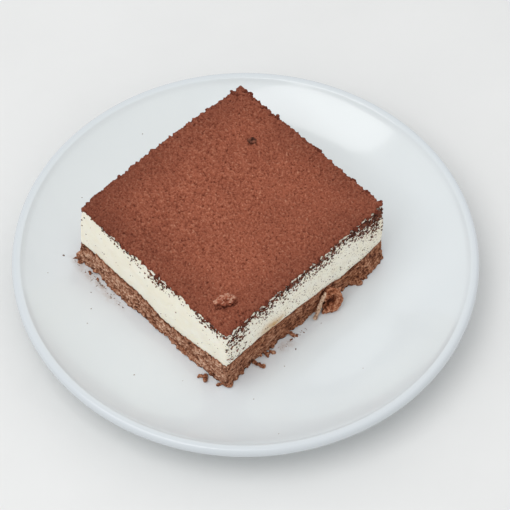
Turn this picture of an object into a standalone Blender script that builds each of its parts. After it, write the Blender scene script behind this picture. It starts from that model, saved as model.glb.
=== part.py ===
"""A hand-cut square of tiramisu on its coupe dessert plate.

The plate is a turned porcelain shell with a foot ring and a narrow rolled lip.
On it lie, from the bottom up, a soaked sponge base, a thick layer of mascarpone
cream and a sheet of cocoa. A curl of sponge, torn off by the knife, leans
against the sponge's front right side.

Units are metres, +Z is up, and the origin is the middle of the foot ring's
underside. The portion's own axes are u, along its front right side, and v,
along its front left side. On the cut's plan, s and t run from -1 to 1 along
u and v, so the front corner is (-1, -1).
"""

import math

import bmesh
import bpy
from mathutils import Vector, noise

MM = 0.001
GAP = 0.3 * MM

# Plate
PLATE_RADIUS = 95.0 * MM
RIM_HEIGHT = 20.0 * MM
FLOOR_HEIGHT = 7.0 * MM
FLOOR_RADIUS = 52.0 * MM
WALL_POWER = 2.7
WALL_STEPS = 9
SHELL_THICKNESS = 4.0 * MM
LIP_WIDTH = 3.8 * MM
LIP_DROP = 0.9 * MM
LIP_INNER_ROUND = 0.9 * MM
LIP_OUTER_ROUND = 1.7 * MM
FOOT_RADIUS = 56.0 * MM
FOOT_WIDTH = 4.0 * MM
FOOT_ROUND = 0.8 * MM
RECESS_HEIGHT = 2.6 * MM
TURN_STEPS = 64

# Portion: its place on the plate and the plan of its top
PORTION_CENTRE = (-5.0 * MM, 5.0 * MM)
PORTION_YAW = math.radians(44.4)
HALF_LENGTH = 44.2 * MM
HALF_WIDTH = 41.5 * MM
PORTION_HEIGHT = 36.8 * MM
COCOA_THICKNESS = 1.5 * MM
GRID = 18

# How far each corner of the cut lies from a true rectangle, in u and v: at its
# top, and how much further out it is at its foot.
CORNERS = {
    "front": {"at": (-1, -1), "top": (-0.8, -1.1), "foot": (-0.4, -0.2)},
    "right": {"at": (1, -1), "top": (-0.4, 1.0), "foot": (1.8, -0.6)},
    "back": {"at": (1, 1), "top": (1.6, 1.2), "foot": (1.0, 1.0)},
    "left": {"at": (-1, 1), "top": (0.5, 0.6), "foot": (-1.8, 1.4)},
}
BACK_LEFT_BOW = 1.1 * MM

# Each side's unevenness is its own.
SIDE_SEEDS = {"front_left": 10, "front_right": 11, "back_right": 12, "back_left": 9}

# Sponge base
SPONGE_THICKNESS = 9.3 * MM
SPONGE_FRONT_RISE = 5.2 * MM
SPONGE_LEFT_RISE = 3.4 * MM
SPONGE_RIGHT_RISE = 2.4 * MM
CREAM_DIP = 2.2 * MM
SPONGE_WAVE = 0.4 * MM
SPONGE_RAGGEDNESS = 0.7 * MM

# Where the sponge's foot stands out (+) or is torn away (-): the side, the
# place along it in mm from the middle, the half width and the depth, in mm.
FOOT_TEARS = (
    ("front_left", 42.0, 3.0, 1.2),
    ("front_left", 10.0, 14.0, 0.6),
    ("front_left", -22.0, 9.0, 0.8),
    ("front_right", -29.0, 5.0, -1.9),
    ("front_right", -12.0, 10.0, -1.3),
    ("front_right", 10.0, 7.0, -1.2),
    ("front_right", 34.0, 7.0, 3.2),
    ("back_right", -20.0, 9.0, 1.2),
    ("back_right", 18.0, 7.0, -1.0),
    ("back_left", -15.0, 8.0, 1.1),
    ("back_left", 24.0, 8.0, -0.9),
)

# Cream and cocoa
CREAM_BULGE = 0.35 * MM
TOP_WAVE = 0.75 * MM
TOP_WAVE_LENGTH = 34.0 * MM
COCOA_SETBACK = 0.5 * MM
COCOA_EDGE_ROUND = 0.5 * MM
COCOA_RAGGEDNESS = 0.35 * MM

# Torn curl of sponge
CURL_MIDDLE = (11.0 * MM, -46.0 * MM)
CURL_LENGTH = 9.5 * MM
CURL_RADIUS = 2.9 * MM
CURL_THICKNESS = 1.8 * MM
CURL_UPRIGHT_STRETCH = 1.35
CURL_START = math.radians(-75)
CURL_SWEEP = math.radians(215)
CURL_TURN = math.radians(-14)
CURL_SECTIONS = 12


def smooth_step(value, start, end):
    """0 before start, 1 after end, and an even S between them."""
    share = min(1.0, max(0.0, (value - start) / (end - start)))
    return share * share * (3.0 - 2.0 * share)


def bump(value, middle, half_width):
    """A rounded hump of height 1."""
    return math.exp(-(((value - middle) / half_width) ** 2))


def arc(centre, radius, start, end, steps):
    """Points of a circular arc, angles in degrees."""
    points = []
    for step in range(steps + 1):
        angle = math.radians(start + (end - start) * step / steps)
        points.append((centre[0] + radius * math.cos(angle), centre[1] + radius * math.sin(angle)))
    return points


def make_material(name, colour, roughness, coat=0.0):
    material = bpy.data.materials.new(name)
    material.use_nodes = True
    shader = material.node_tree.nodes["Principled BSDF"]
    shader.inputs["Base Color"].default_value = (*colour, 1.0)
    shader.inputs["Roughness"].default_value = roughness
    shader.inputs["Metallic"].default_value = 0.0
    shader.inputs["Coat Weight"].default_value = coat
    return material


def porcelain():
    return make_material("glazed_porcelain", (0.73, 0.77, 0.79), 0.12, coat=0.4)


def soaked_sponge():
    return make_material("soaked_sponge", (0.27, 0.12, 0.068), 0.85)


def mascarpone():
    return make_material("mascarpone", (0.80, 0.79, 0.69), 0.55)


def cocoa():
    return make_material("cocoa_powder", (0.29, 0.09, 0.05), 0.95)


def torn_sponge():
    return make_material("torn_sponge", (0.25, 0.10, 0.055), 0.9)


# Plate


def plate_floor(radius):
    """Height of the plate's upper surface inside its lip."""
    wall_start = FLOOR_RADIUS
    wall_end = PLATE_RADIUS - LIP_WIDTH
    share = max(0.0, radius - wall_start) / (wall_end - wall_start)
    return FLOOR_HEIGHT + (RIM_HEIGHT - LIP_DROP - FLOOR_HEIGHT) * share ** WALL_POWER


def wall_radii():
    """Radii from the flat floor to the lip, closer together where it is steeper."""
    wall_end = PLATE_RADIUS - LIP_WIDTH
    shares = [step / WALL_STEPS for step in range(WALL_STEPS + 1)]
    return [FLOOR_RADIUS + (wall_end - FLOOR_RADIUS) * share ** 0.75 for share in shares]


def plate_profile():
    """The plate's half section, from the middle of its floor round to its underside."""
    radii = wall_radii()
    upper = [(0.0, FLOOR_HEIGHT)]
    upper += [(radius, plate_floor(radius)) for radius in radii[:-1]]
    inner = (PLATE_RADIUS - LIP_WIDTH + LIP_INNER_ROUND, RIM_HEIGHT - LIP_INNER_ROUND)
    outer = (PLATE_RADIUS - LIP_OUTER_ROUND, RIM_HEIGHT - LIP_OUTER_ROUND)
    lip = arc(inner, LIP_INNER_ROUND, 165, 90, 2) + arc(outer, LIP_OUTER_ROUND, 90, -60, 5)
    under = [(radius, plate_floor(radius) - SHELL_THICKNESS) for radius in reversed(radii[2:-1])]
    foot_in = FOOT_RADIUS - FOOT_WIDTH / 2
    foot_out = FOOT_RADIUS + FOOT_WIDTH / 2
    foot = arc((foot_out - FOOT_ROUND, FOOT_ROUND), FOOT_ROUND, 0, -90, 2)
    foot += arc((foot_in + FOOT_ROUND, FOOT_ROUND), FOOT_ROUND, -90, -180, 2)
    recess = [(foot_in, RECESS_HEIGHT), (0.0, RECESS_HEIGHT)]
    return upper + lip + under + foot + recess


def make_plate(collection):
    """The profile turned once round the upright axis."""
    points = plate_profile()
    mesh = bpy.data.meshes.new("plate")
    edges = [(index, index + 1) for index in range(len(points) - 1)]
    mesh.from_pydata([(radius, 0.0, height) for radius, height in points], edges, [])
    plate = bpy.data.objects.new("plate", mesh)
    collection.objects.link(plate)
    turn = plate.modifiers.new("turn", "SCREW")
    turn.axis = "Z"
    turn.angle = math.tau
    turn.steps = TURN_STEPS
    turn.render_steps = TURN_STEPS
    turn.use_merge_vertices = True
    turn.merge_threshold = 0.00001
    turn.use_smooth_shade = True
    mesh.materials.append(porcelain())
    return plate


# Portion: plan and heights


def plan_point(s, t, depth):
    """Where (s, t) lies in u and v, at a depth below the portion's top."""
    u = s * HALF_LENGTH
    v = t * HALF_WIDTH
    foot_share = min(1.0, max(0.0, depth / PORTION_HEIGHT))
    for corner in CORNERS.values():
        weight = (1 + s * corner["at"][0]) * (1 + t * corner["at"][1]) / 4
        u += weight * MM * (corner["top"][0] + foot_share * corner["foot"][0])
        v += weight * MM * (corner["top"][1] + foot_share * corner["foot"][1])
    v += BACK_LEFT_BOW * (1 - s * s) * (1 + t) / 2
    return u, v


def distance_on_plate(u, v):
    """How far a point of the portion is from the plate's middle."""
    cosine = math.cos(PORTION_YAW)
    sine = math.sin(PORTION_YAW)
    x = PORTION_CENTRE[0] + u * cosine - v * sine
    y = PORTION_CENTRE[1] + u * sine + v * cosine
    return math.hypot(x, y)


def sponge_low(s, t):
    """The sponge lies on the plate and follows its rise."""
    u, v = plan_point(s, t, PORTION_HEIGHT)
    return plate_floor(distance_on_plate(u, v)) + GAP


def sponge_high(s, t):
    """The sponge is thickest at the front corner, then at the left and right corners."""
    u, v = plan_point(s, t, PORTION_HEIGHT)
    from_front_left = u + HALF_LENGTH
    from_front_right = v + HALF_WIDTH
    at_front_left = bump(from_front_left, 0.0, 20 * MM)
    at_front_right = bump(from_front_right, 0.0, 17 * MM)
    rise = SPONGE_FRONT_RISE * at_front_right * (1.0 - smooth_step(u, -16 * MM, 40 * MM))
    rise += SPONGE_LEFT_RISE * at_front_left * smooth_step(v, -8 * MM, 14 * MM)
    rise += SPONGE_RIGHT_RISE * smooth_step(u, 34 * MM, HALF_LENGTH)
    dip = CREAM_DIP * at_front_right * bump(u, 20 * MM, 5 * MM)
    wave = SPONGE_WAVE * math.sin(v / (4.6 * MM) + 0.7) * math.cos(u / (7.1 * MM))
    return FLOOR_HEIGHT + GAP + SPONGE_THICKNESS + rise - dip + wave


def top_height(s, t):
    """The cocoa's surface: level, with low uneven swells."""
    u, v = plan_point(s, t, 0.0)
    swell = noise.noise(Vector((u, v, 0.0)) / TOP_WAVE_LENGTH)
    return FLOOR_HEIGHT + GAP + PORTION_HEIGHT + TOP_WAVE * swell


def cream_low(s, t):
    return sponge_high(s, t) + GAP


def cream_high(s, t):
    return top_height(s, t) - COCOA_THICKNESS


def cocoa_low(s, t):
    return cream_high(s, t) + GAP


# Portion: sides


def side_places(s, t):
    """The sides of the cut that (s, t) is on, each with the place along it."""
    places = []
    if s == -1:
        places.append(("front_left", (-1, 0), t * HALF_WIDTH))
    if s == 1:
        places.append(("back_right", (1, 0), t * HALF_WIDTH))
    if t == -1:
        places.append(("front_right", (0, -1), s * HALF_LENGTH))
    if t == 1:
        places.append(("back_left", (0, 1), s * HALF_LENGTH))
    return places


def sponge_push(side, along, share):
    """The knife has dragged and torn the crumb, most at the foot."""
    depth = 0.0
    for torn_side, middle, half_width, amount in FOOT_TEARS:
        if torn_side == side:
            depth += amount * MM * bump(along, middle * MM, half_width * MM)
    crumb = noise.noise(Vector((along / (4.0 * MM), share * 1.7, SIDE_SEEDS[side])))
    return depth * (1.0 - share) ** 1.3 + SPONGE_RAGGEDNESS * crumb


def cream_push(side, along, share):
    """The cream bellies out a little at half its height."""
    drift = noise.noise(Vector((along / (19.0 * MM), share, 2.0 * SIDE_SEEDS[side])))
    return CREAM_BULGE * (math.sin(math.pi * share) + drift)


def cocoa_push(side, along, share):
    """The cocoa stops just short of the cut, with a crumbling edge."""
    crumble = noise.noise(Vector((along / (5.0 * MM), 4.0, SIDE_SEEDS[side])))
    return COCOA_RAGGEDNESS * crumble - COCOA_SETBACK - COCOA_EDGE_ROUND * share


def slab_vertex(form, low, high, push, s, t, share):
    """A vertex of a layer, from share 0 on its lower face to 1 on its upper face."""
    height = low(s, t) + share * (high(s, t) - low(s, t))
    depth = FLOOR_HEIGHT + GAP + PORTION_HEIGHT - height
    u, v = plan_point(s, t, depth)
    for side, outward, along in side_places(s, t):
        reach = push(side, along, share)
        u += outward[0] * reach
        v += outward[1] * reach
    return form.verts.new((u, v, height))


def border_cells():
    """The grid's border, once round, counter-clockwise seen from above."""
    last = GRID
    cells = [(i, 0) for i in range(last)]
    cells += [(last, j) for j in range(last)]
    cells += [(i, last) for i in range(last, 0, -1)]
    cells += [(0, j) for j in range(last, 0, -1)]
    return cells


def make_layer(name, low, high, push, rows, material, seat, collection):
    """One layer of the cut: two uneven faces with upright sides between them."""
    form = bmesh.new()
    steps = [-1 + 2 * index / GRID for index in range(GRID + 1)]
    faces = {}
    for share in (0.0, 1.0):
        for i, s in enumerate(steps):
            for j, t in enumerate(steps):
                faces[share, i, j] = slab_vertex(form, low, high, push, s, t, share)
    for i in range(GRID):
        for j in range(GRID):
            cell = ((i, j), (i + 1, j), (i + 1, j + 1), (i, j + 1))
            form.faces.new([faces[1.0, a, b] for a, b in cell])
            form.faces.new([faces[0.0, a, b] for a, b in reversed(cell)])
    rings = []
    for row in range(rows + 1):
        share = row / rows
        if share in (0.0, 1.0):
            ring = [faces[share, i, j] for i, j in border_cells()]
        else:
            ring = [slab_vertex(form, low, high, push, steps[i], steps[j], share)
                    for i, j in border_cells()]
        rings.append(ring)
    for lower, upper in zip(rings, rings[1:]):
        for index in range(len(lower)):
            after = (index + 1) % len(lower)
            form.faces.new((lower[index], lower[after], upper[after], upper[index]))
    mesh = bpy.data.meshes.new(name)
    form.to_mesh(mesh)
    form.free()
    mesh.materials.append(material)
    layer = bpy.data.objects.new(name, mesh)
    collection.objects.link(layer)
    layer.parent = seat
    return layer


# Torn curl


def curl_section(form, share):
    """One cross-section of the curl: a flat oval across its thickness and length."""
    angle = CURL_START + CURL_SWEEP * share
    radius = CURL_RADIUS * (1.0 - 0.25 * share)
    length = CURL_LENGTH * (0.55 + 0.45 * math.sin(math.pi * (0.15 + 0.8 * share)))
    thickness = CURL_THICKNESS * (0.7 + 0.3 * math.sin(math.pi * share))
    section = []
    for corner in range(8):
        turn = math.tau * (corner + 0.5) / 8
        outward = radius + thickness / 2 * math.sin(turn)
        section.append(form.verts.new((
            length / 2 * math.cos(turn),
            outward * math.cos(angle),
            outward * math.sin(angle) * CURL_UPRIGHT_STRETCH,
        )))
    return section


def make_curl(seat, collection):
    """A strip of torn sponge, curled over on itself and standing on the plate."""
    form = bmesh.new()
    sections = [curl_section(form, step / CURL_SECTIONS) for step in range(CURL_SECTIONS + 1)]
    for first, second in zip(sections, sections[1:]):
        for index in range(8):
            after = (index + 1) % 8
            form.faces.new((first[index], second[index], second[after], first[after]))
    form.faces.new(sections[0])
    form.faces.new(reversed(sections[-1]))
    bmesh.ops.recalc_face_normals(form, faces=form.faces)
    mesh = bpy.data.meshes.new("torn_sponge_curl")
    form.to_mesh(mesh)
    form.free()
    mesh.materials.append(torn_sponge())
    curl = bpy.data.objects.new("torn_sponge_curl", mesh)
    collection.objects.link(curl)
    curl.parent = seat
    curl.rotation_euler = (0.0, 0.0, CURL_TURN)
    lowest = min(vertex.co.z for vertex in mesh.vertices)
    curl.location = (*CURL_MIDDLE, FLOOR_HEIGHT + GAP - lowest)
    return curl


def clear_scene():
    for item in list(bpy.data.objects):
        bpy.data.objects.remove(item)


def main():
    clear_scene()
    collection = bpy.data.collections.new("tiramisu_portion")
    bpy.context.scene.collection.children.link(collection)
    make_plate(collection)
    seat = bpy.data.objects.new("portion_seat", None)
    seat.location = (*PORTION_CENTRE, 0.0)
    seat.rotation_euler = (0.0, 0.0, PORTION_YAW)
    collection.objects.link(seat)
    make_layer("sponge_base", sponge_low, sponge_high, sponge_push, 3,
               soaked_sponge(), seat, collection)
    make_layer("mascarpone_cream", cream_low, cream_high, cream_push, 3,
               mascarpone(), seat, collection)
    make_layer("cocoa_layer", cocoa_low, top_height, cocoa_push, 1,
               cocoa(), seat, collection)
    make_curl(seat, collection)


main()
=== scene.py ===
"""The looks of a tiramisu portion on its plate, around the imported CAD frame.

Units are metres. The portion's sides are named front_right, back_right,
back_left and front_left, counter-clockwise seen from above, starting at its
front corner. A place on the portion is given by how far it is from the front
left side and from the front right side.
"""

import math
import random

import bmesh
import bpy
import numpy as np
from mathutils import Matrix, Vector, noise
from mathutils.bvhtree import BVHTree


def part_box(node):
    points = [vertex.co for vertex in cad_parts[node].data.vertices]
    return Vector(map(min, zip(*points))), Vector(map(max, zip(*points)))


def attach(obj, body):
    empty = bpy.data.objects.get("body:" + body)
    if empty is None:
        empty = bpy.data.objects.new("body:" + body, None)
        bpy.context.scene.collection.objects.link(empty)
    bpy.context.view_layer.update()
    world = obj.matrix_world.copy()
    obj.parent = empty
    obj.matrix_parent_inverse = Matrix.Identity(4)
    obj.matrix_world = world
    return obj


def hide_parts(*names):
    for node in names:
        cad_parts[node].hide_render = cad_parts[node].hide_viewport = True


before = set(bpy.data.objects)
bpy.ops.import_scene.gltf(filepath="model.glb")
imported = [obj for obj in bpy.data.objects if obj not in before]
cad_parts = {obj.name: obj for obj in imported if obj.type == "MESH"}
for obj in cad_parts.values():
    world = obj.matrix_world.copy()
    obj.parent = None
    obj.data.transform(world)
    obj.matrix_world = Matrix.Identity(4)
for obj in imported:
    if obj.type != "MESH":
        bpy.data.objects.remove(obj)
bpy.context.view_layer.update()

PLATE_RADIUS, PLATE_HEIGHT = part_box("plate")[1].xz

MM = 0.001
DOWN = Vector((0, 0, -1))
ABOVE = 0.2

# Camera, at the photograph's viewing angle
CAMERA_TARGET = (0.0038, 0.0128, 0.0)
CAMERA_DISTANCE = 1.1
CAMERA_ELEVATION = math.radians(54.5)
CAMERA_ROLL = math.radians(0.2)
CAMERA_LENS = 187.1
SENSOR_WIDTH = 36.0

# Table and light
TABLE_REACH = 3.0
TABLE_GAP = 0.02 * MM
KEY_PLACE = (-0.42, -0.34, 1.20)
KEY_SIZE = 0.95
KEY_POWER = 6.4
ROOM_STRENGTH = 0.83

# Plate: its section follows the CAD's in finer steps, with a softer lip
FLOOR_RADIUS = 52.0 * MM
PLATE_WALL_POWER = 2.7
PLATE_SHELL = 4.0 * MM
LIP_WIDTH = 3.8 * MM
LIP_DROP = 0.75 * MM
LIP_CREST = 1.6 * MM
LIP_OUTER_DEPTH = 2.4 * MM
# How far in from the rim the painted lip shade reaches
RIM_SHADE_REACH = 6.5 * MM
FOOT_RADIUS = 56.0 * MM
FOOT_WIDTH = 4.0 * MM
FOOT_ROUND = 0.8 * MM
FOOT_RECESS = 2.6 * MM
FLOOR_HEIGHT = 7.0 * MM
PLATE_STEPS = 200

# Portion
SIDES = {
    "front_right": ("front", "right"), "back_right": ("right", "back"),
    "back_left": ("back", "left"), "front_left": ("left", "front"),
}
CORNER_DIRECTIONS = {"front": (0, -1, 0), "right": (1, 0, 0), "back": (0, 1, 0), "left": (-1, 0, 0)}
SIDE_LENGTH = 86.0
CORNER_SHARE = 0.01
INSET = 3.5 * MM
SAMPLE_ROWS = 6
CAP_SHARES = (0.3, 0.94, 0.985)
SPONGE_COLUMNS = 210
SPONGE_ROWS = 34
CREAM_COLUMNS = 170
CREAM_ROWS = 44
COCOA_COLUMNS = 280
SKIRT_ROWS = 5
FINE_VOXEL = 0.16 * MM
STRIP_VOXEL = 0.18 * MM
CRUMB_VOXEL = 0.2 * MM
SPECK_TOP = 1.3 * MM
SPECK_SHARE = 0.72


# Small helpers


def ease(value, start, end):
    """0 before start, 1 after end, and an even S between them."""
    share = np.clip((value - start) / (end - start), 0.0, 1.0)
    return share * share * (3.0 - 2.0 * share)


def hump(value, middle, half_width):
    """A rounded hump of height 1."""
    return np.exp(-(((value - middle) / half_width) ** 2))


def field(places, size, seed=0.0):
    """Smooth noise, about -1 to 1, with lumps of about that size."""
    shifted = (places / size + 19.7 * seed).reshape(-1, 3)
    values = np.array([noise.noise(place) for place in shifted.tolist()])
    return 1.6 * values.reshape(places.shape[:-1])


def pits(places, spacing, seed=0.0, width=0.45):
    """Round pits of depth 1, about that far apart."""
    shifted = (places / spacing + 31.3 * seed).reshape(-1, 3)
    nearest = np.array([noise.voronoi(place)[0][0] for place in shifted.tolist()])
    return np.clip(1.0 - (nearest / width) ** 2, 0.0, 1.0).reshape(places.shape[:-1])


def segment_hump(places, start, end, half_width):
    """A hump along a line, whose ends are distances in mm from the two front sides."""
    start = np.array(portion_place(*start, 0.0))[:2]
    way = np.array(portion_place(*end, 0.0))[:2] - start
    offsets = places[..., :2] - start
    share = np.clip((offsets @ way) / (way @ way), 0.0, 1.0)
    distance = np.linalg.norm(offsets - share[..., None] * way, axis=-1)
    return hump(distance, 0.0, half_width * MM)


def search_tree(*pieces):
    """A search tree over the faces of one or more objects."""
    places, faces = [], []
    for piece in pieces:
        first = len(places)
        places += [vertex.co for vertex in piece.data.vertices]
        faces += [[first + index for index in polygon.vertices] for polygon in piece.data.polygons]
    return BVHTree.FromPolygons(places, faces)


def cad_tree(node):
    return search_tree(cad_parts[node])


def places_of(mesh):
    return np.array([vertex.co for vertex in mesh.vertices])


def corner(node, direction):
    """A node's furthest vertex in a direction."""
    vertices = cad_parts[node].data.vertices
    return max((vertex.co.copy() for vertex in vertices), key=lambda place: place.dot(Vector(direction)))


def link_object(name, data):
    made = bpy.data.objects.new(name, data)
    bpy.context.scene.collection.objects.link(made)
    return made


def add_piece(name, mesh, material, stands_for=()):
    """A finished piece: shaded, with its material, riding on the one body."""
    piece = link_object(name, mesh)
    mesh.materials.append(material)
    mesh.shade_smooth()
    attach(piece, "root")
    if stands_for:
        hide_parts(*stands_for)
    return piece


def point_attribute(mesh, name, values):
    """A number for each vertex, which the material reads."""
    attribute = mesh.attributes.new(name, "FLOAT", "POINT")
    attribute.data.foreach_set("value", np.asarray(values, dtype=np.float32))


def mesh_of(name, places, faces):
    mesh = bpy.data.meshes.new(name)
    mesh.from_pydata(places, [], faces)
    return mesh


def set_uv(mesh, uvs):
    layer = mesh.uv_layers.new(name="OFBake")
    layer.data.foreach_set("uv", np.asarray(uvs, dtype=np.float32).ravel())


# Where the portion is


CREAM_CORNERS = {name: corner("mascarpone_cream", way) for name, way in CORNER_DIRECTIONS.items()}
MIDDLE = sum(CREAM_CORNERS.values(), Vector()) / 4
ALONG_FRONT_RIGHT = (CREAM_CORNERS["right"] - CREAM_CORNERS["front"]).to_2d().normalized()
ALONG_FRONT_LEFT = (CREAM_CORNERS["left"] - CREAM_CORNERS["front"]).to_2d().normalized()
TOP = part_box("cocoa_layer")[1].z


def portion_place(from_front_left, from_front_right, height):
    """The place at those distances, in mm, from the two front sides."""
    front = CREAM_CORNERS["front"].to_2d()
    plan = front + ALONG_FRONT_RIGHT * from_front_left * MM + ALONG_FRONT_LEFT * from_front_right * MM
    return Vector((plan.x, plan.y, height))


# Materials


class Nodes:
    """A material's node tree, with short calls for the nodes used here."""

    def __init__(self, name):
        self.material = bpy.data.materials.new(name)
        self.material.use_nodes = True
        self.tree = self.material.node_tree
        self.places = self.tree.nodes.new("ShaderNodeTexCoord").outputs["Object"]

    def link(self, value, socket):
        """Connects an output, or sets a plain value."""
        if isinstance(value, bpy.types.NodeSocket):
            self.tree.links.new(value, socket)
        else:
            socket.default_value = value

    def node(self, kind, inputs, **settings):
        """The outputs of a new node with these settings and inputs."""
        node = self.tree.nodes.new("ShaderNode" + kind)
        for name, value in settings.items():
            setattr(node, name, value)
        for name, value in inputs.items():
            self.link(value, node.inputs[name])
        return node.outputs

    def mapped(self, size, stretch=(1, 1, 1), seed=0.0):
        """The place on the object, counted in lumps of that size in metres."""
        scale = [1.0 / (size * way) for way in stretch]
        shift = (seed, seed * 1.7, seed * 2.3)
        return self.node("Mapping", {"Vector": self.places, "Scale": scale, "Location": shift})["Vector"]

    def noise(self, size, detail=3.0, roughness=0.55, stretch=(1, 1, 1), seed=0.0):
        """Noise from 0 to 1 with lumps of about that size in metres."""
        vector = self.mapped(size, stretch, seed)
        inputs = {"Vector": vector, "Scale": 1.0, "Detail": detail, "Roughness": roughness}
        return self.node("TexNoise", inputs)["Fac"]

    def cells(self, size):
        """Distance to scattered points, which are about that far apart."""
        return self.node("TexVoronoi", {"Vector": self.mapped(size), "Scale": 1.0})["Distance"]

    def attribute(self, name):
        return self.node("Attribute", {}, attribute_name=name)["Fac"]

    def math(self, operation, *values):
        return self.node("Math", dict(enumerate(values)), operation=operation)[0]

    def scale(self, *values):
        """A value moved from one range to another: value, old low and high, new low and high."""
        return self.node("MapRange", dict(enumerate(values)))["Result"]

    def ramp(self, value, stops):
        """A colour for each value, blended between (value, colour) stops."""
        outputs = self.node("ValToRGB", {"Fac": value})
        elements = outputs["Color"].node.color_ramp.elements
        while len(elements) < len(stops):
            elements.new(0.5)
        for element, (place, colour) in zip(elements, stops):
            element.position = place
            element.color = (*colour, 1.0)
        return outputs["Color"]

    def grained(self, fine, amount, middle=0.5):
        """The relief attribute with fine noise on it."""
        grain = self.math("SUBTRACT", fine, middle)
        return self.math("MULTIPLY_ADD", grain, amount, self.attribute("relief"))

    def blend(self, share, first, second, blend_type="MIX"):
        colours = [(*value, 1.0) if isinstance(value, tuple) else value for value in (first, second)]
        inputs = {0: share, 6: colours[0], 7: colours[1]}
        return self.node("Mix", inputs, data_type="RGBA", blend_type=blend_type)[2]

    def bump(self, height, distance, **before):
        inputs = {"Height": height, "Distance": distance, "Strength": 1.0}
        return self.node("Bump", {**inputs, **before})["Normal"]

    def finish(self, colour, roughness, normal=None, **plain):
        """Sets the shader; plain values go straight on its sockets."""
        inputs = self.tree.nodes["Principled BSDF"].inputs
        self.link(colour, inputs["Base Color"])
        self.link(roughness, inputs["Roughness"])
        if normal is not None:
            self.link(normal, inputs["Normal"])
        for name, value in plain.items():
            inputs[name.replace("_", " ")].default_value = value
        return self.material


def glaze():
    """Cool white glazed porcelain, a little uneven, with painted shade greying it at the lip, and stained in
    places.
    """
    nodes = Nodes("porcelain_glaze")
    tint = nodes.ramp(nodes.noise(40 * MM, detail=2.0), (
        (0.3, (0.715, 0.76, 0.784)), (0.7, (0.74, 0.785, 0.806))))
    broken = nodes.scale(nodes.noise(2.2 * MM, detail=4.0), 0.35, 0.62)
    share = nodes.math("MULTIPLY", nodes.attribute("stain"), broken)
    # Painted shade: the tint is greyed over the outer 6.5 mm up to the lip.
    darkened = nodes.blend(nodes.attribute("rim"), tint, (0.59, 0.63, 0.66))
    colour = nodes.blend(share, darkened, (0.42, 0.3, 0.22))
    roughness = nodes.scale(nodes.noise(14 * MM), 0.3, 0.7, 0.13, 0.19)
    ripple = nodes.bump(nodes.noise(22 * MM, detail=1.0), 0.05 * MM)
    return nodes.finish(colour, roughness, ripple, Coat_Weight=0.35, Coat_Roughness=0.06)


def sponge_finish(name, shift=0.0, warmth=0.0):
    """Coffee-soaked crumb: painted shade in its pores, painted highlight in tan on what stands out, and tan
    where it is drier.
    """
    nodes = Nodes(name)
    fine = nodes.noise(0.85 * MM, detail=4.0, roughness=0.65, seed=shift)
    mixed = nodes.grained(fine, 1.9)
    wet_and_shaded = nodes.ramp(mixed, (
        (0.12, (0.07, 0.019, 0.009)), (0.36, (0.2, 0.068, 0.032)),
        (0.6, (0.325, 0.126, 0.062)), (0.9, (0.52, 0.255, 0.138))))
    dry = nodes.ramp(mixed, (
        (0.1, (0.095, 0.032, 0.016)), (0.34, (0.29, 0.114, 0.061)),
        (0.58, (0.475, 0.24, 0.148)), (0.9, (0.78, 0.525, 0.385))))
    # Painted shade: the dark wet ramp also paints the shade in the torn curl's hollow, through the dryness
    # attribute.
    plain = nodes.blend(nodes.attribute("dryness_and_shade"), wet_and_shaded, dry)
    colour = nodes.blend(warmth, plain, (0.95, 0.66, 0.5), "MULTIPLY")
    return nodes.finish(colour, 0.85, nodes.bump(fine, 0.6 * MM), Specular_IOR_Level=0.15)


def cream_finish():
    """Whipped mascarpone, ivory, with knife drag lines and tiny pores."""
    nodes = Nodes("mascarpone_cream")
    mottle = nodes.noise(5 * MM, detail=4.0)
    base = nodes.ramp(mottle, (
        (0.3, (0.87, 0.815, 0.665)), (0.7, (0.9, 0.868, 0.75))))
    smear = nodes.math("MULTIPLY", nodes.attribute("smear"), nodes.scale(mottle, 0.35, 0.6, 0.5, 1.0))
    stained = nodes.blend(smear, base, (0.6, 0.37, 0.16))
    dust = nodes.scale(nodes.noise(0.6 * MM, detail=2.0), 0.6, 0.68)
    dusty = nodes.math("MULTIPLY", dust, nodes.attribute("dust"))
    colour = nodes.blend(dusty, stained, (0.36, 0.24, 0.16))
    drag = nodes.noise(1.1 * MM, detail=4.0, stretch=(6, 6, 0.8), seed=3.0)
    pores = nodes.scale(nodes.cells(0.9 * MM), 0.0, 0.22)
    normal = nodes.bump(pores, 0.06 * MM, Normal=nodes.bump(drag, 0.12 * MM))
    return nodes.finish(
        colour, 0.5, normal, Subsurface_Weight=0.15, Subsurface_Radius=(1.0, 0.8, 0.5),
        Subsurface_Scale=1.5 * MM, Specular_IOR_Level=0.4)


def cocoa_finish(name, darkness=0.0, peak=(0.64, 0.275, 0.168)):
    """Sifted cocoa: matt red-brown grains, with painted highlight on their tops and painted shade between
    them.
    """
    nodes = Nodes(name)
    fine = nodes.noise(0.62 * MM, roughness=0.7)
    grains = nodes.ramp(nodes.grained(fine, 1.25, 0.5 + darkness), (
        (0.1, (0.15, 0.034, 0.018)), (0.36, (0.354, 0.099, 0.054)),
        (0.6, (0.474, 0.144, 0.08)), (0.9, peak)))
    patches = nodes.scale(nodes.noise(17 * MM, detail=2.0), 0.3, 0.7, 0.0, 0.16)
    darkened = nodes.math("ADD", patches, nodes.attribute("thinness"))
    colour = nodes.blend(darkened, grains, (0.13, 0.034, 0.02))
    return nodes.finish(colour, 0.95, nodes.bump(fine, 1.1 * MM), Specular_IOR_Level=0.2)


def speck_finish():
    """Damp cocoa specks, almost black where they cling to the cream."""
    nodes = Nodes("cocoa_specks")
    colour = nodes.ramp(nodes.noise(1.6 * MM, detail=2.0), (
        (0.32, (0.035, 0.011, 0.006)), (0.48, (0.1, 0.032, 0.018)), (0.66, (0.25, 0.082, 0.046))))
    return nodes.finish(colour, 0.9, Specular_IOR_Level=0.25)


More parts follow.
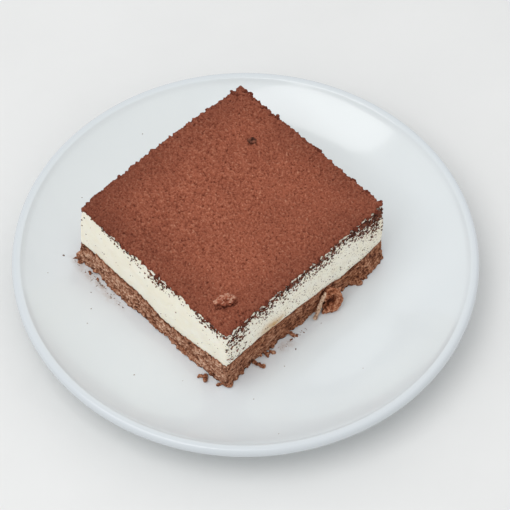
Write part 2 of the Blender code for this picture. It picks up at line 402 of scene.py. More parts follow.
def dust_finish():
    """Pale brown dust and drips dried on the plate."""
    nodes = Nodes("plate_dust")
    colour = nodes.ramp(nodes.noise(2.5 * MM), (
        (0.35, (0.16, 0.1, 0.07)), (0.65, (0.38, 0.29, 0.23))))
    return nodes.finish(colour, 0.7)


def table_finish():
    """A plain pale matt table top."""
    nodes = Nodes("pale_table")
    colour = nodes.ramp(nodes.noise(60 * MM, detail=5.0), (
        (0.3, (0.735, 0.74, 0.735)), (0.7, (0.76, 0.765, 0.76))))
    return nodes.finish(colour, 0.6, Specular_IOR_Level=0.2)


# Plate


def arc(centre, radii, start, end, steps):
    """Points of an elliptical arc, angles in degrees."""
    angles = np.radians(np.linspace(start, end, steps + 1))
    return [(centre[0] + radii[0] * math.cos(a), centre[1] + radii[1] * math.sin(a)) for a in angles]


def plate_floor(radius):
    """Height of the plate's upper surface inside its lip."""
    wall_end = PLATE_RADIUS - LIP_WIDTH
    share = max(0.0, radius - FLOOR_RADIUS) / (wall_end - FLOOR_RADIUS)
    rise = PLATE_HEIGHT - LIP_DROP - FLOOR_HEIGHT
    return FLOOR_HEIGHT + rise * share ** PLATE_WALL_POWER


def plate_profile():
    """The plate's half section, from the middle of its floor round to its underside."""
    rim, top = PLATE_RADIUS, PLATE_HEIGHT
    wall = np.linspace(FLOOR_RADIUS, rim - LIP_WIDTH - 0.35 * MM, 26)
    upper = [(radius, FLOOR_HEIGHT) for radius in np.linspace(4 * MM, FLOOR_RADIUS - 4 * MM, 12)]
    upper += [(radius, plate_floor(radius)) for radius in wall]
    crest = rim - LIP_CREST
    lip = arc((crest, top - LIP_DROP), (LIP_WIDTH - LIP_CREST, LIP_DROP), 158, 90, 10)
    lip += arc((crest, top - LIP_OUTER_DEPTH), (LIP_CREST, LIP_OUTER_DEPTH), 84, -60, 14)
    foot_in = FOOT_RADIUS - FOOT_WIDTH / 2
    foot_out = FOOT_RADIUS + FOOT_WIDTH / 2
    under = [(r, plate_floor(r) - PLATE_SHELL) for r in wall[::-1] if r > foot_out + 1.5 * MM]
    rounding = (FOOT_ROUND, FOOT_ROUND)
    foot = arc((foot_out - FOOT_ROUND, FOOT_ROUND), rounding, 0, -90, 6)
    foot += arc((foot_in + FOOT_ROUND, FOOT_ROUND), rounding, -90, -180, 6)
    recess = [(radius, FOOT_RECESS) for radius in np.linspace(foot_in, 4 * MM, 9)]
    return upper + lip + under + foot + recess


def ring_body(name, rings, low_pole, high_pole):
    """A closed mesh from stacked rings, with a fan to a pole at each end."""
    rows, columns = rings.shape[:2]
    places = np.concatenate([rings.reshape(-1, 3), [low_pole], [high_pole]])
    index = np.arange(rows * columns).reshape(rows, columns)
    after = np.roll(index, -1, axis=1)
    quads = np.stack([index[:-1], after[:-1], after[1:], index[1:]], axis=-1).reshape(-1, 4)
    low, high = rows * columns, rows * columns + 1
    bottom = [(low, b, a) for a, b in zip(index[0], after[0])]
    top = [(high, a, b) for a, b in zip(index[-1], after[-1])]
    return mesh_of(name, places.tolist(), quads.tolist() + [tuple(map(int, f)) for f in bottom + top])


def plate_uvs(mesh, split):
    """The upper side is laid out as one disc and the underside as a smaller one."""
    uvs = []
    for polygon in mesh.polygons:
        upper = polygon.center.z > split(polygon.center.to_2d().length)
        middle, size = (0.34, 0.33 / PLATE_RADIUS) if upper else (0.83, 0.16 / PLATE_RADIUS)
        for vertex in polygon.vertices:
            place = mesh.vertices[vertex].co
            uvs.append((middle + size * place.x, middle + size * place.y))
    set_uv(mesh, uvs)


STAINS = (
    # (start, end) as distances in mm from the two front sides, half width, strength
    ((-2.4, 89), (-4.2, 64), 1.5, 0.40),
    ((-1.6, 79.5), (-2.6, 69.5), 0.7, 0.75),
    ((-2.6, 66), (-4, 58), 1.1, 0.30),
    ((26, -1.8), (42, -2.6), 1.2, 0.55),
)


def stain_on(places):
    """How stained each place on the plate is, 0 to 1."""
    stains = [strength * segment_hump(places, *line) for *line, strength in STAINS]
    return np.max(stains, axis=0)


def make_plate():
    """The profile turned once round the upright axis, fine enough to look round."""
    angles = np.arange(PLATE_STEPS) * math.tau / PLATE_STEPS
    rings = np.array([
        [(radius * math.cos(a), radius * math.sin(a), height) for a in angles]
        for radius, height in reversed(plate_profile())
    ])
    mesh = ring_body("plate_glazed", rings, (0.0, 0.0, FOOT_RECESS), (0.0, 0.0, FLOOR_HEIGHT))
    places = places_of(mesh)
    on_top = places[:, 2] > FLOOR_HEIGHT - 0.1 * MM
    point_attribute(mesh, "stain", stain_on(places) * on_top)
    reach = np.hypot(places[:, 0], places[:, 1])
    # Painted shade: this attribute greys the glaze towards the lip.
    point_attribute(mesh, "rim", ease(reach, PLATE_RADIUS - RIM_SHADE_REACH, PLATE_RADIUS))
    plate_uvs(mesh, lambda radius: plate_floor(min(radius, PLATE_RADIUS - LIP_WIDTH)) - 2 * MM)
    return add_piece("plate_glazed", mesh, glaze(), ("plate",))


# The portion's layers, read from the CAD


def smooth_weights(reach):
    """Weights for an even blend over that many neighbours on each side."""
    weights = np.hanning(2 * reach + 3)[1:-1]
    return weights / weights.sum()


def soften(values, reach):
    """Evens values out along each side, and leaves the corners where they are."""
    weights = smooth_weights(reach)
    out = values.astype(float).copy()
    per_side = len(values) // 4
    for side in range(4):
        picks = (np.arange(side * per_side, (side + 1) * per_side + 1)) % len(values)
        run = values[picks].astype(float)
        before = 2 * run[0] - run[reach:0:-1]
        after = 2 * run[-1] - run[-2:-reach - 2:-1]
        padded = np.concatenate([before, run, after])
        smooth = np.apply_along_axis(np.convolve, 0, padded, weights, "valid")
        out[picks[1:-1]] = smooth[1:-1]
    return out


def outline_plan(columns):
    """The portion's outline seen from above, evenly divided, once round."""
    plan = []
    for start, end in SIDES.values():
        a = CREAM_CORNERS[start].to_2d()
        b = CREAM_CORNERS[end].to_2d()
        plan += [a.lerp(b, step / columns) for step in range(columns)]
    return np.array(plan)


def layer_heights(tree, plan, reach):
    """A layer's lowest and highest surface just inside each place of its outline."""
    inward = np.array(MIDDLE.to_2d()) - plan
    inside = plan + inward / np.linalg.norm(inward, axis=1)[:, None] * INSET
    low, high = [], []
    for x, y in inside:
        low.append(tree.ray_cast(Vector((x, y, -ABOVE)), -DOWN)[0].z)
        high.append(tree.ray_cast(Vector((x, y, ABOVE)), DOWN)[0].z)
    return soften(np.array(low), reach), soften(np.array(high), reach)


def layer_ring(tree, plan, heights, reach):
    """Where a layer's sides stand at those heights, once round."""
    ring = []
    for (x, y), height in zip(plan, heights):
        way = Vector((x - MIDDLE.x, y - MIDDLE.y, 0.0))
        outside = Vector((MIDDLE.x, MIDDLE.y, height)) + way * 1.5
        hit = tree.ray_cast(outside, -way.normalized())[0]
        ring.append(hit if hit is not None else Vector((x, y, height)))
    ring = np.array(ring)
    ring[:, :2] = soften(ring[:, :2], reach)
    return ring


def layer_sides(node, columns, rows):
    """A layer's upright sides as rings of places from its foot to its top."""
    tree = cad_tree(node)
    plan = outline_plan(columns)
    reach = columns // 28
    low, high = layer_heights(tree, plan, reach)
    shares = np.linspace(0.04, 0.96, SAMPLE_ROWS)
    samples = np.array([layer_ring(tree, plan, low + share * (high - low), reach) for share in shares])
    steps = np.linspace(0.0, 1.0, rows)
    rings = np.apply_along_axis(lambda run: np.interp(steps, shares, run), 0, samples)
    rings[:, :, 2] = low + steps[:, None] * (high - low)
    return rings


def side_start(node, columns, rows):
    """A layer's side rings, each row's share of its height, and what is on the two front sides."""
    shares = np.linspace(0.0, 1.0, rows)[:, None]
    left, right = side_share(columns, "front_left"), side_share(columns, "front_right")
    return layer_sides(node, columns, rows), shares, left, right


def outward(ring):
    """The level direction away from the layer, at each place of a ring."""
    tangent = np.roll(ring, -2, axis=0) - np.roll(ring, 2, axis=0)
    normal = np.stack([tangent[:, 1], -tangent[:, 0], np.zeros(len(ring))], axis=1)
    return normal / np.linalg.norm(normal, axis=1)[:, None]


def move_out(rings, reach):
    """The rings, moved outward by that reach in mm."""
    ways = np.array([outward(ring) for ring in rings])
    return rings + ways * (reach * MM)[:, :, None]


def round_corners(rings, reach):
    """Takes the knife-sharp edge off the upright corners."""
    total = np.zeros_like(rings)
    for offset, weight in zip(range(-reach, reach + 1), smooth_weights(reach)):
        total += weight * np.roll(rings, offset, axis=1)
    total[:, :, 2] = rings[:, :, 2]
    return total


def side_share(columns, name):
    """1 on the named side, 0 on the others, and a quick change at its corners."""
    order = list(SIDES).index(name)
    steps = (np.arange(4 * columns) / columns - order) % 4
    begun = ease(steps, -CORNER_SHARE, CORNER_SHARE)
    ended = ease(steps, 1 - CORNER_SHARE, 1 + CORNER_SHARE)
    return begun * (1.0 - ended) + ease(steps, 4 - CORNER_SHARE, 4.0)


def strip_uvs(mesh, rows, columns):
    """Each side is a strip across the image, and the hidden caps share what is left."""
    caps = len(CAP_SHARES)
    per_side = columns // 4
    uvs = []
    for row, column in np.ndindex(rows + 2 * caps - 1, columns):
        side = column // per_side
        cap_start = 0.01 if row < caps else 0.5
        for right, up in ((0, 0), (1, 0), (1, 1), (0, 1)):
            if caps <= row < caps + rows - 1:
                across = (column - side * per_side + right) / per_side
                height = (row + up - caps) / (rows - 1)
                uvs.append((0.005 + 0.99 * across, 0.225 * side + 0.22 * height))
            else:
                depth = (row + up) / (rows + 2 * caps)
                uvs.append((cap_start + 0.48 * (column + right) / columns, 0.91 + 0.08 * depth))
    for cap_start in (0.01, 0.5):
        for column in range(columns):
            uvs += [(cap_start + 0.48 * column / columns, 0.995)] * 3
    set_uv(mesh, uvs)


def side_body(name, rings, attributes):
    """A closed layer from its side rings, with caps hidden in the portion."""
    low_pole, high_pole = rings[0].mean(axis=0), rings[-1].mean(axis=0)
    below = [low_pole + (rings[0] - low_pole) * share for share in CAP_SHARES]
    above = [high_pole + (rings[-1] - high_pole) * share for share in reversed(CAP_SHARES)]
    mesh = ring_body(name, np.concatenate([below, rings, above]), low_pole, high_pole)
    strip_uvs(mesh, *rings.shape[:2])
    for attribute, values in attributes.items():
        point_attribute(mesh, attribute, cap_values(values))
    return mesh


def cap_values(values):
    """Attribute values for the side rows, with the caps and poles filled in."""
    values = np.pad(values, ((len(CAP_SHARES), len(CAP_SHARES)), (0, 0)), "edge")
    return np.concatenate([values.ravel(), [values[0].mean(), values[-1].mean()]])


# Sponge base


def crumb_relief(places, seed=0.0):
    """Cake crumb: lumps on lumps, with pores, about -1 to 1."""
    lumps = 0.32 * field(places, 2.6 * MM, seed) + 0.38 * field(places, 1.2 * MM, seed + 1)
    lumps += 0.32 * field(places, 0.6 * MM, seed + 2)
    return lumps - 0.75 * pits(places, 1.7 * MM, seed) * (field(places, 4.0 * MM, seed + 3) > -0.35)


def make_sponge():
    """Crumb sides with a ragged foot, flush with the cream above, and a torn left corner."""
    columns = SPONGE_COLUMNS
    rings, shares, left, right = side_start("sponge_base", columns, SPONGE_ROWS)
    cream_foot = layer_sides("mascarpone_cream", columns, 2)[0]
    flush = ease(shares, 0.4, 0.95) * (0.6 + 0.4 * left - 0.2 * right)
    rings[:, :, :2] += flush[:, :, None] * (cream_foot - rings[-1])[:, :2]
    rings = round_corners(rings, 2)
    smooth = rings
    relief = crumb_relief(rings * (0.8, 0.8, 1.25))
    foot = np.clip(1.0 - shares / 0.3, 0.0, 1.0)
    ragged = field(rings, 2.2 * MM, 9)
    reach = 0.55 * relief * (1 + 0.25 * left - 0.25 * right)
    reach += (0.8 - 0.35 * left) * foot * np.clip(ragged, -0.2, 1.0)
    reach += (0.45 * left - 0.1 * right) * ease(shares, 0.5, 0.95)
    along = np.arange(4 * columns) / columns
    tips = hump(along, 3.0, 0.022) * hump(shares, 0.32, 0.3) * np.clip(1.0 + ragged, 0.2, 2.0)
    reach += 1.4 * tips - 1.2 * hump(along, 3.10, 0.07) * (1.0 - ease(shares, 0.0, 0.6))
    reach -= 0.5 * ease(shares, 0.965, 1.0)
    rings = move_out(rings, reach)
    edge = rings[-1] * (1, 1, 0)
    edge_wave = field(edge, 1.6 * MM, 4) + 0.6 * field(edge, 0.8 * MM, 5)
    lift = 0.30 + 0.25 * left + (0.50 + 0.45 * left) * edge_wave
    rings[:, :, 2] += ease(shares, 0.8, 1.0) * lift * MM
    rings[:, :, 2] -= ease(1.0 - shares, 0.9, 1.0) * 0.25 * MM
    # Painted shade and highlight: the tone follows the crumb's relief, dark in the pores and pale on what
    # stands out. It is also darker in the top rows under the cream and along the foot.
    tone = 0.5 + 0.56 * relief - 0.35 * ease(shares, 0.955, 1.0)
    tone -= 0.14 * ease(1.0 - shares, 0.9, 1.0)
    dryness_and_shade = 0.42 + 0.46 * left - 0.30 * right + 0.22 * field(smooth, 9.0 * MM, 6)
    dryness_and_shade = np.clip(dryness_and_shade + 0.1 * (shares - 0.5), 0.0, 1.0)
    mesh = side_body("sponge_crumb", rings, {"relief": tone, "dryness_and_shade": dryness_and_shade})
    return add_piece("sponge_crumb", mesh, sponge_finish("soaked_sponge"), ("sponge_base",))


# Cream


def make_cream():
    """Smooth cut sides with drag lines, a few holes and a wavy foot."""
    columns = CREAM_COLUMNS
    rings, shares, left, right = side_start("mascarpone_cream", columns, CREAM_ROWS)
    rings = round_corners(rings, 2)
    drag = field(rings * (0.25, 0.25, 1.0), 1.6 * MM, 5)
    reach = 0.14 * field(rings, 7.0 * MM, 2) + 0.05 * drag * (1 + right)
    reach -= 0.45 * pits(rings, 5.2 * MM, 7, width=0.13)
    reach += 0.15 * right - (0.45 - 0.25 * left) * ease(1.0 - shares, 0.93, 1.0)
    rings = move_out(rings, reach)
    hem = field(rings[0] * (1, 1, 0), 3.0 * MM, 8)
    rings[:, :, 2] += ease(1.0 - shares, 0.85, 1.0) * (0.25 * hem - 0.25) * MM
    along = np.arange(4 * columns) / columns
    smear = 1.3 * hump(along, 0.27, 0.055) * hump(shares, 0.10, 0.17) * right
    smear += 0.5 * hump(along, 0.34, 0.03) * hump(shares, 0.16, 0.1)
    smear += 0.12 * right * ease(along, 0.75, 1.0)
    dust = (0.10 + 0.55 * right + 0.25 * ease(shares, 0.8, 1.0)) * (1 - 0.6 * left)
    dust += 0.4 * right * ease(along, 0.78, 1.0)
    mesh = side_body("mascarpone_layer", rings, {"smear": np.clip(smear, 0, 1), "dust": np.clip(dust, 0, 1)})
    return add_piece("mascarpone_layer", mesh, cream_finish(), ("mascarpone_cream",))


# Cocoa


def coons(front, right, back, left):
    """Fills a four-sided outline evenly: front and back run the same way, and so do left and right."""
    s = np.linspace(0.0, 1.0, len(front))[:, None, None]
    t = np.linspace(0.0, 1.0, len(right))[None, :, None]
    ruled = (1 - t) * front[:, None] + t * back[:, None] + (1 - s) * left[None] + s * right[None]
    corners = (1 - s) * (1 - t) * front[0] + s * (1 - t) * front[-1]
    corners = corners + (1 - s) * t * back[0] + s * t * back[-1]
    return ruled - corners


def cocoa_relief(places):
    """Sifted powder: low swells, worm-like lumps, and grains, in mm, and a tone for each that paints their
    shade and highlight.
    """
    swell = 0.16 * field(places, 8.0 * MM, 1)
    lumps = field(places, 1.9 * MM, 2)
    small = field(places, 1.0 * MM, 3)
    grain = field(places, 0.62 * MM, 4)
    granules = pits(places, 3.4 * MM, 5, width=0.17)
    holes = pits(places, 4.1 * MM, 6, width=0.13)
    offsets = places[..., :2] - np.array(CREAM_CORNERS["front"].to_2d())
    along = offsets @ np.array(ALONG_FRONT_RIGHT)
    across = offsets @ np.array(ALONG_FRONT_LEFT)
    streaks = field(np.stack([along * 0.22, across, 0 * along], axis=-1), 1.1 * MM, 7)
    streaks *= 1.0 - ease(across, 5 * MM, 14 * MM)
    height = swell + 0.20 * lumps + 0.36 * small + 0.22 * grain + 0.20 * streaks
    height += 0.36 * granules - 0.42 * holes
    # Painted shade and highlight: the tone follows the height, paler on lumps and granules, darker in the
    # holes.
    tone = 0.50 + 0.03 * lumps + 0.12 * small + 0.24 * grain + 0.10 * streaks
    tone += 0.38 * granules - 0.38 * holes
    return height, tone


GROOVES = (
    # (start, end) as distances in mm from the two front sides, half width, depth
    ((10.7, 3.6), (13.8, 3.3), 0.55, 0.55),
    ((10.4, 5.3), (10.9, 5.1), 0.45, 0.55),
    ((6.6, 11.8), (9.3, 10.6), 0.7, 0.6),
    ((9.3, 10.4), (13.8, 8.4), 0.7, 0.6),
    ((73.7, 60.1), (73.8, 60.2), 1.6, 0.6),
)


def groove_depth(places):
    """The short marks pressed in the powder near the front corner, in mm."""
    return sum(amount * segment_hump(places, *line) for *line, amount in GROOVES)


def cocoa_outline(columns):
    """The cocoa's ragged edge, once round, at its top."""
    plan = outline_plan(columns)
    ring = layer_sides("mascarpone_cream", columns, 2)[-1]
    ring[:, 2] = layer_heights(cad_tree("cocoa_layer"), plan, columns // 28)[1]
    ways = outward(round_corners(ring[None], 3)[0])
    ragged = 0.50 * field(ring, 1.9 * MM, 11) + 0.40 * field(ring, 0.9 * MM, 12)
    ragged += 0.5 * np.clip(field(ring, 3.2 * MM, 13) - 0.45, 0.0, 1.0)
    return ring + ways * ((0.20 + ragged) * MM)[:, None], ways


def top_heights(grid):
    """The CAD cocoa's height at each place of a grid, evened out a little."""
    tree = cad_tree("cocoa_layer")
    heights = grid[:, :, 2].copy()
    for cell in np.ndindex(heights.shape):
        hit = tree.ray_cast(Vector((*grid[cell][:2], ABOVE)), DOWN)[0]
        if hit is not None:
            heights[cell] = hit.z
    for _ in range(10):
        inner = heights[1:-1, 1:-1]
        around = heights[:-2, 1:-1] + heights[2:, 1:-1] + heights[1:-1, :-2] + heights[1:-1, 2:]
        heights[1:-1, 1:-1] = 0.4 * inner + 0.15 * around
    return heights


def make_cocoa():
    """A fine grid over the top with a crumbling skirt, closed underneath."""
    columns = COCOA_COLUMNS
    edge, ways = cocoa_outline(columns)
    closed = np.concatenate([edge, edge[:1]])
    front, right, back, left = [closed[k * columns:(k + 1) * columns + 1] for k in range(4)]
    grid = coons(front, right, back[::-1], left[::-1])
    relief, tone = cocoa_relief(grid)
    grooves = groove_depth(grid)
    index = np.arange(columns + 1)
    to_edge = np.minimum(index, columns - index) * (SIDE_LENGTH / columns)
    near = np.minimum(to_edge[:, None], to_edge[None, :])
    rounding = 0.75 * (1.0 - ease(near, 0.0, 1.3)) ** 1.5
    # Painted shade: the tone is darkened in the pressed grooves. It is also darker within 2 mm of the edge.
    tone -= 0.45 * grooves + 0.10 * (1.0 - ease(near, 0.0, 2.0))
    thinness = 0.30 * (1.0 - ease(near, 0.0, 26.0)) ** 2
    from_left = np.linalg.norm(grid[:, :, :2] - np.array(CREAM_CORNERS["left"].to_2d()), axis=2)
    thinness += 0.16 * (1.0 - ease(from_left, 10 * MM, 50 * MM))
    grid[:, :, 2] = top_heights(grid) + (relief - grooves - rounding) * MM
    return cocoa_mesh(grid, tone, thinness, ways)


def grid_border(size):
    """The rows and columns of a grid's border, once round, from its first corner."""
    last = size - 1
    run, low, high = np.arange(last), np.zeros(last, dtype=int), np.full(last, last)
    return np.concatenate([run, high, last - run, low]), np.concatenate([low, run, high, last - run])


def cocoa_skirt(border, ways):
    """Rings from the top's border down its ragged edge and in underneath."""
    drop = 0.40 + 0.60 * np.clip(field(border, 1.5 * MM, 14), -0.5, 1.0)
    drop += 0.9 * np.clip(field(border, 4.0 * MM, 15) - 0.2, 0.0, 1.0)
    rings = []
    for row in range(1, SKIRT_ROWS + 1):
        share = row / SKIRT_ROWS
        ring = border.copy()
        ring[:, 2] -= share * drop * MM
        wobble = 0.25 * field(ring, 0.8 * MM, 16) - 0.25 * share
        rings.append(ring + ways * (wobble * MM)[:, None])
    bottom = rings[-1] - ways * 1.2 * MM
    middle = bottom.mean(axis=0)
    return rings + [middle + (bottom - middle) * share for share in (1.0, 0.9, 0.4)], middle


def cocoa_mesh(grid, tone, thinness, ways):
    """The top, its skirt and its underside as one closed mesh."""
    size = grid.shape[0]
    border = grid_border(size)
    rings, middle = cocoa_skirt(grid[border], ways)
    places = np.concatenate([grid.reshape(-1, 3)] + rings + [middle[None]])
    top = np.arange(size * size).reshape(size, size)
    quads = np.stack([top[:-1, :-1], top[1:, :-1], top[1:, 1:], top[:-1, 1:]], axis=-1).reshape(-1, 4)
    steps = np.linspace(0.0, 0.9, size)
    spots = np.stack(np.meshgrid(steps, steps, indexing="ij"), axis=-1).reshape(-1, 2)
    faces, uvs = quads.tolist(), spots[quads].reshape(-1, 2).tolist()
    count = len(border[0])
    loops = [top[border]] + [size * size + k * count + np.arange(count) for k in range(len(rings))]
    for row, (upper, lower) in enumerate(zip(loops, loops[1:])):
        faces += np.stack([np.roll(upper, -1), upper, lower, np.roll(lower, -1)], axis=-1).tolist()
        high, down = 0.915 + 0.01 * row, 0.925 + 0.01 * row
        for k in range(count):
            a, b = k / count, (k + 1) / count
            uvs += [(b, high), (a, high), (a, down), (b, down)]
    pole = np.full(count, len(places) - 1)
    faces += np.stack([np.roll(loops[-1], -1), loops[-1], pole], axis=-1).tolist()
    uvs += [(k / count, 0.995) for k in range(count) for _ in range(3)]
    mesh = mesh_of("cocoa_powder", places.tolist(), faces)
    set_uv(mesh, uvs)
    # Painted shade: the skirt's tone darkens row by row down the edge and underneath, and the underside's
    # colour is darkened too.
    under_tone = [tone[border] - 0.05 * min(row, 3) for row in range(1, len(rings) + 1)]
    point_attribute(mesh, "relief", np.concatenate([tone.ravel(), *under_tone, [0.2]]))
    under_thinness = np.full(len(rings) * count + 1, 0.3)
    point_attribute(mesh, "thinness", np.concatenate([thinness.ravel(), under_thinness]))
    return add_piece("cocoa_powder", mesh, cocoa_finish("sifted_cocoa"), ("cocoa_layer",))


# Lumps: merged balls, remeshed into one skin and roughened


def merged_lumps(name, balls, voxel, roughness, seed):
    """One closed skin round a list of (place, radii, turn) balls, with a crumbly surface."""
    form = bmesh.new()
    for place, radii, turn in balls:
        shape = Matrix.Translation(place) @ Matrix.Rotation(turn, 4, "Z") @ Matrix.Diagonal((*radii, 1.0))
        bmesh.ops.create_icosphere(form, subdivisions=3, radius=1.0, matrix=shape)
    mesh = bpy.data.meshes.new(name)
    form.to_mesh(mesh)
    form.free()
    draft = link_object(name + "_draft", mesh)
    skin = draft.modifiers.new("skin", "REMESH")
    skin.mode = "VOXEL"
    skin.voxel_size = voxel
    evaluated = draft.evaluated_get(bpy.context.evaluated_depsgraph_get())
    result = bpy.data.meshes.new_from_object(evaluated)
    bpy.data.objects.remove(draft)
    bpy.data.meshes.remove(mesh)
    places = places_of(result)
    normals = np.array([vertex.normal for vertex in result.vertices])
    relief = crumb_relief(places * roughness[1], seed)
    places += normals * (relief * roughness[0])[:, None]
    result.vertices.foreach_set("co", places.ravel())
    result.update()
    # Painted shade and highlight: the tone follows the relief, darker in the pits and paler on the bumps.
    point_attribute(result, "relief", np.clip(0.5 + 0.4 * relief, 0.0, 1.0))
    return result


def set_tone(mesh, share=1.0, added=0.0):
    """Scales each point's relief by a share and adds to it."""
    tone = np.empty(len(mesh.vertices), dtype=np.float32)
    data = mesh.attributes["relief"].data
    data.foreach_get("value", tone)
    data.foreach_set("value", (share * tone + added).astype(np.float32))


def ball(from_front_left, from_front_right, height, radii, turn=0.0):
    """A ball for merged_lumps: place and radii in mm, height above the cocoa's top."""
    return (portion_place(from_front_left, from_front_right, TOP + height * MM),
            [radius * MM for radius in radii], turn)


def loose_ball(draw, place, size, least, most, turns):
    """A ball for merged_lumps with radii and a turn drawn at random."""
    radii = [size * draw.uniform(least, most) for _ in range(3)]
    return place, radii, draw.uniform(0, turns)


TOP_LUMP = (
    ball(7.4, 13.2, 0.8, (1.3, 1.2, 1.1)),
    ball(8.8, 12.9, 1.3, (1.5, 1.4, 1.4)),
    ball(10.2, 12.5, 2, (1.5, 1.5, 1.5)),
    ball(11.9, 11.6, 2.3, (1.6, 1.5, 1.6)),
    ball(13.4, 10.2, 1.3, (1.6, 1.5, 1.5)),
    ball(9.6, 11.4, 0.8, (1.6, 1.3, 1.3)),
    ball(11.8, 9.9, 0.8, (1.5, 1.3, 1.3)),
)
DARK_CLUMP = (
    ball(72.7, 60.9, -0.3, (0.9, 0.8, 0.7)),
    ball(72.6, 59.7, -0.2, (0.9, 0.8, 0.8)),
    ball(73.6, 59, -0.3, (0.9, 0.8, 0.7)),
    ball(74.7, 59.5, -0.5, (0.8, 0.8, 0.6)),
    ball(74.6, 60.7, -0.5, (0.8, 0.8, 0.6)),
    ball(73.6, 61.3, -0.5, (0.8, 0.7, 0.6)),
)


def make_cocoa_lumps():
    """The lump near the front corner and the damp ring near the back."""
    lump = merged_lumps("cocoa_lump", TOP_LUMP, FINE_VOXEL, (0.42 * MM, 1.15), 21)
    point_attribute(lump, "thinness", np.zeros(len(lump.vertices)))
    # Painted highlight and shade: faces that point up are paler and those that point down are darker.
    upward = np.array([vertex.normal.z for vertex in lump.vertices])
    set_tone(lump, 0.75, 0.50 * upward - 0.08)
    add_piece("cocoa_lump", lump, cocoa_finish("lump_cocoa", peak=(0.74, 0.44, 0.31)))
    clump = merged_lumps("cocoa_damp_clump", DARK_CLUMP, FINE_VOXEL, (0.3 * MM, 1.1), 22)
    add_piece("cocoa_damp_clump", clump, speck_finish())


EDGE_CLUMPS = {
    # side: distances in mm from its start, with each clump's size in mm
    "front_right": ((9, 1.5), (22.5, 1.7), (36, 1.4), (52, 1.6), (73, 2), (80, 1.8), (86, 2.2)),
    "back_right": ((2, 1.9), (9, 1.5), (17, 1.7), (38, 2.3), (40, 1.4), (61.5, 1.9), (63.5, 1.4),
                   (69, 1.5), (78, 1.7), (81, 1.6)),
    "back_left": ((5.4, 2.2), (20, 1.4), (33, 1.1), (54, 1.2), (68.5, 1.7), (80, 1.4)),
    "front_left": ((8, 1.2), (17.5, 1.6), (26.5, 1.7), (46, 1.5), (57, 1.3), (76, 1.8), (79.5, 1.5)),
}


def edge_point(side, along, tree, height):
    """The place and normal on a layer's side, along in mm from the side's start."""
    start, end = (CREAM_CORNERS[name].to_2d() for name in SIDES[side])
    plan = start.lerp(end, along * MM / (end - start).length)
    way = (end - start).normalized()
    out = Vector((way.y, -way.x, 0.0))
    return tree.ray_cast(Vector((plan.x, plan.y, height)) + out * 10 * MM, -out)[:2]


def make_edge_clumps(cocoa_tree):
    """Damp clumps of cocoa that the knife left along the top edges."""
    draw = random.Random(41)
    balls = []
    for side, clumps in EDGE_CLUMPS.items():
        for along, size in clumps:
            for _ in range(4):
                spot = along + draw.uniform(-0.5, 0.5) * size
                height = TOP - draw.uniform(0.9, 1.6) * MM
                place, _ = edge_point(side, spot, cocoa_tree, height)
                if place is not None:
                    balls.append(loose_ball(draw, place, size * MM, 0.28, 0.5, math.tau))
    clumps = merged_lumps("cocoa_edge_clumps", balls, FINE_VOXEL, (0.2 * MM, 1.4), 23)
    add_piece("cocoa_edge_clumps", clumps, cocoa_finish("clump_cocoa", darkness=0.35))


# Specks


class Scatter:
    """Collects many small uneven grains into one mesh."""

    def __init__(self, seed):
        self.draw = random.Random(seed)
        self.places = []
        self.faces = []

    def grain(self, place, normal, along, size, stretch, flatness):
        """An eight-sided grain, longer along one direction and pressed to the surface."""
        side = normal.cross(along).normalized()
        along = side.cross(normal).normalized()
        corners = []
        for way, reach in ((along, stretch), (side, 1.0), (-along, stretch), (-side, 1.0)):
            length = size / 2 * reach * self.draw.uniform(0.6, 1.35)
            skew = self.draw.uniform(-0.3, 0.3) * size
            corners.append(place + way * length + (side if way in (along, -along) else along) * skew)
        peak = place + normal * size * flatness * self.draw.uniform(0.5, 1.1)
        root = place - normal * size * flatness * 0.5
        first = len(self.places)
        self.places += corners + [peak, root]
        for k, after in ((0, 1), (1, 2), (2, 3), (3, 0)):
            self.faces.append((first + k, first + after, first + 4))
            self.faces.append((first + after, first + k, first + 5))

    def mesh(self, name):
        return mesh_of(name, self.places, self.faces)


SPECK_CLUSTERS = {
    # side: (distance in mm from its start, half width in mm, number, depth in mm)
    "front_right": (
        (3.5, 4.5, 170, 7), (9, 3.5, 130, 2.6), (14, 4, 90, 1.6), (22.5, 4, 190, 2.4),
        (30, 4, 100, 1.7), (37.5, 4, 190, 2.2), (46, 5, 160, 2), (54, 4, 190, 2.3),
        (61, 3.5, 130, 1.8), (74, 4.5, 290, 2.2), (81, 4.5, 380, 3), (85.5, 3, 330, 4.2)),
    "front_left": (
        (2, 2.5, 12, 3), (15.5, 2.5, 40, 1), (19, 1.6, 16, 1.2), (25, 2.8, 52, 1.1),
        (32, 4, 42, 1.4), (45, 5, 115, 2), (50.5, 3, 45, 1.8), (59, 2.5, 16, 1.2),
        (72, 3, 64, 1.5), (77, 3, 80, 1.4), (81, 2.5, 42, 1.3)),
    "back_right": (
        (6, 5, 170, 2.6), (20, 6, 150, 1.8), (38, 6, 170, 2.2), (55, 6, 120, 1.6),
        (70, 5, 170, 2.4), (80, 3, 80, 1.8)),
    "back_left": (
        (6, 4, 90, 1.8), (24, 6, 110, 1.6), (44, 6, 70, 1.2), (66, 5, 120, 2),
        (82, 3, 60, 1.6)),
}
LOOSE_SPECKS = {"front_right": 650, "front_left": 60, "back_right": 260, "back_left": 120}


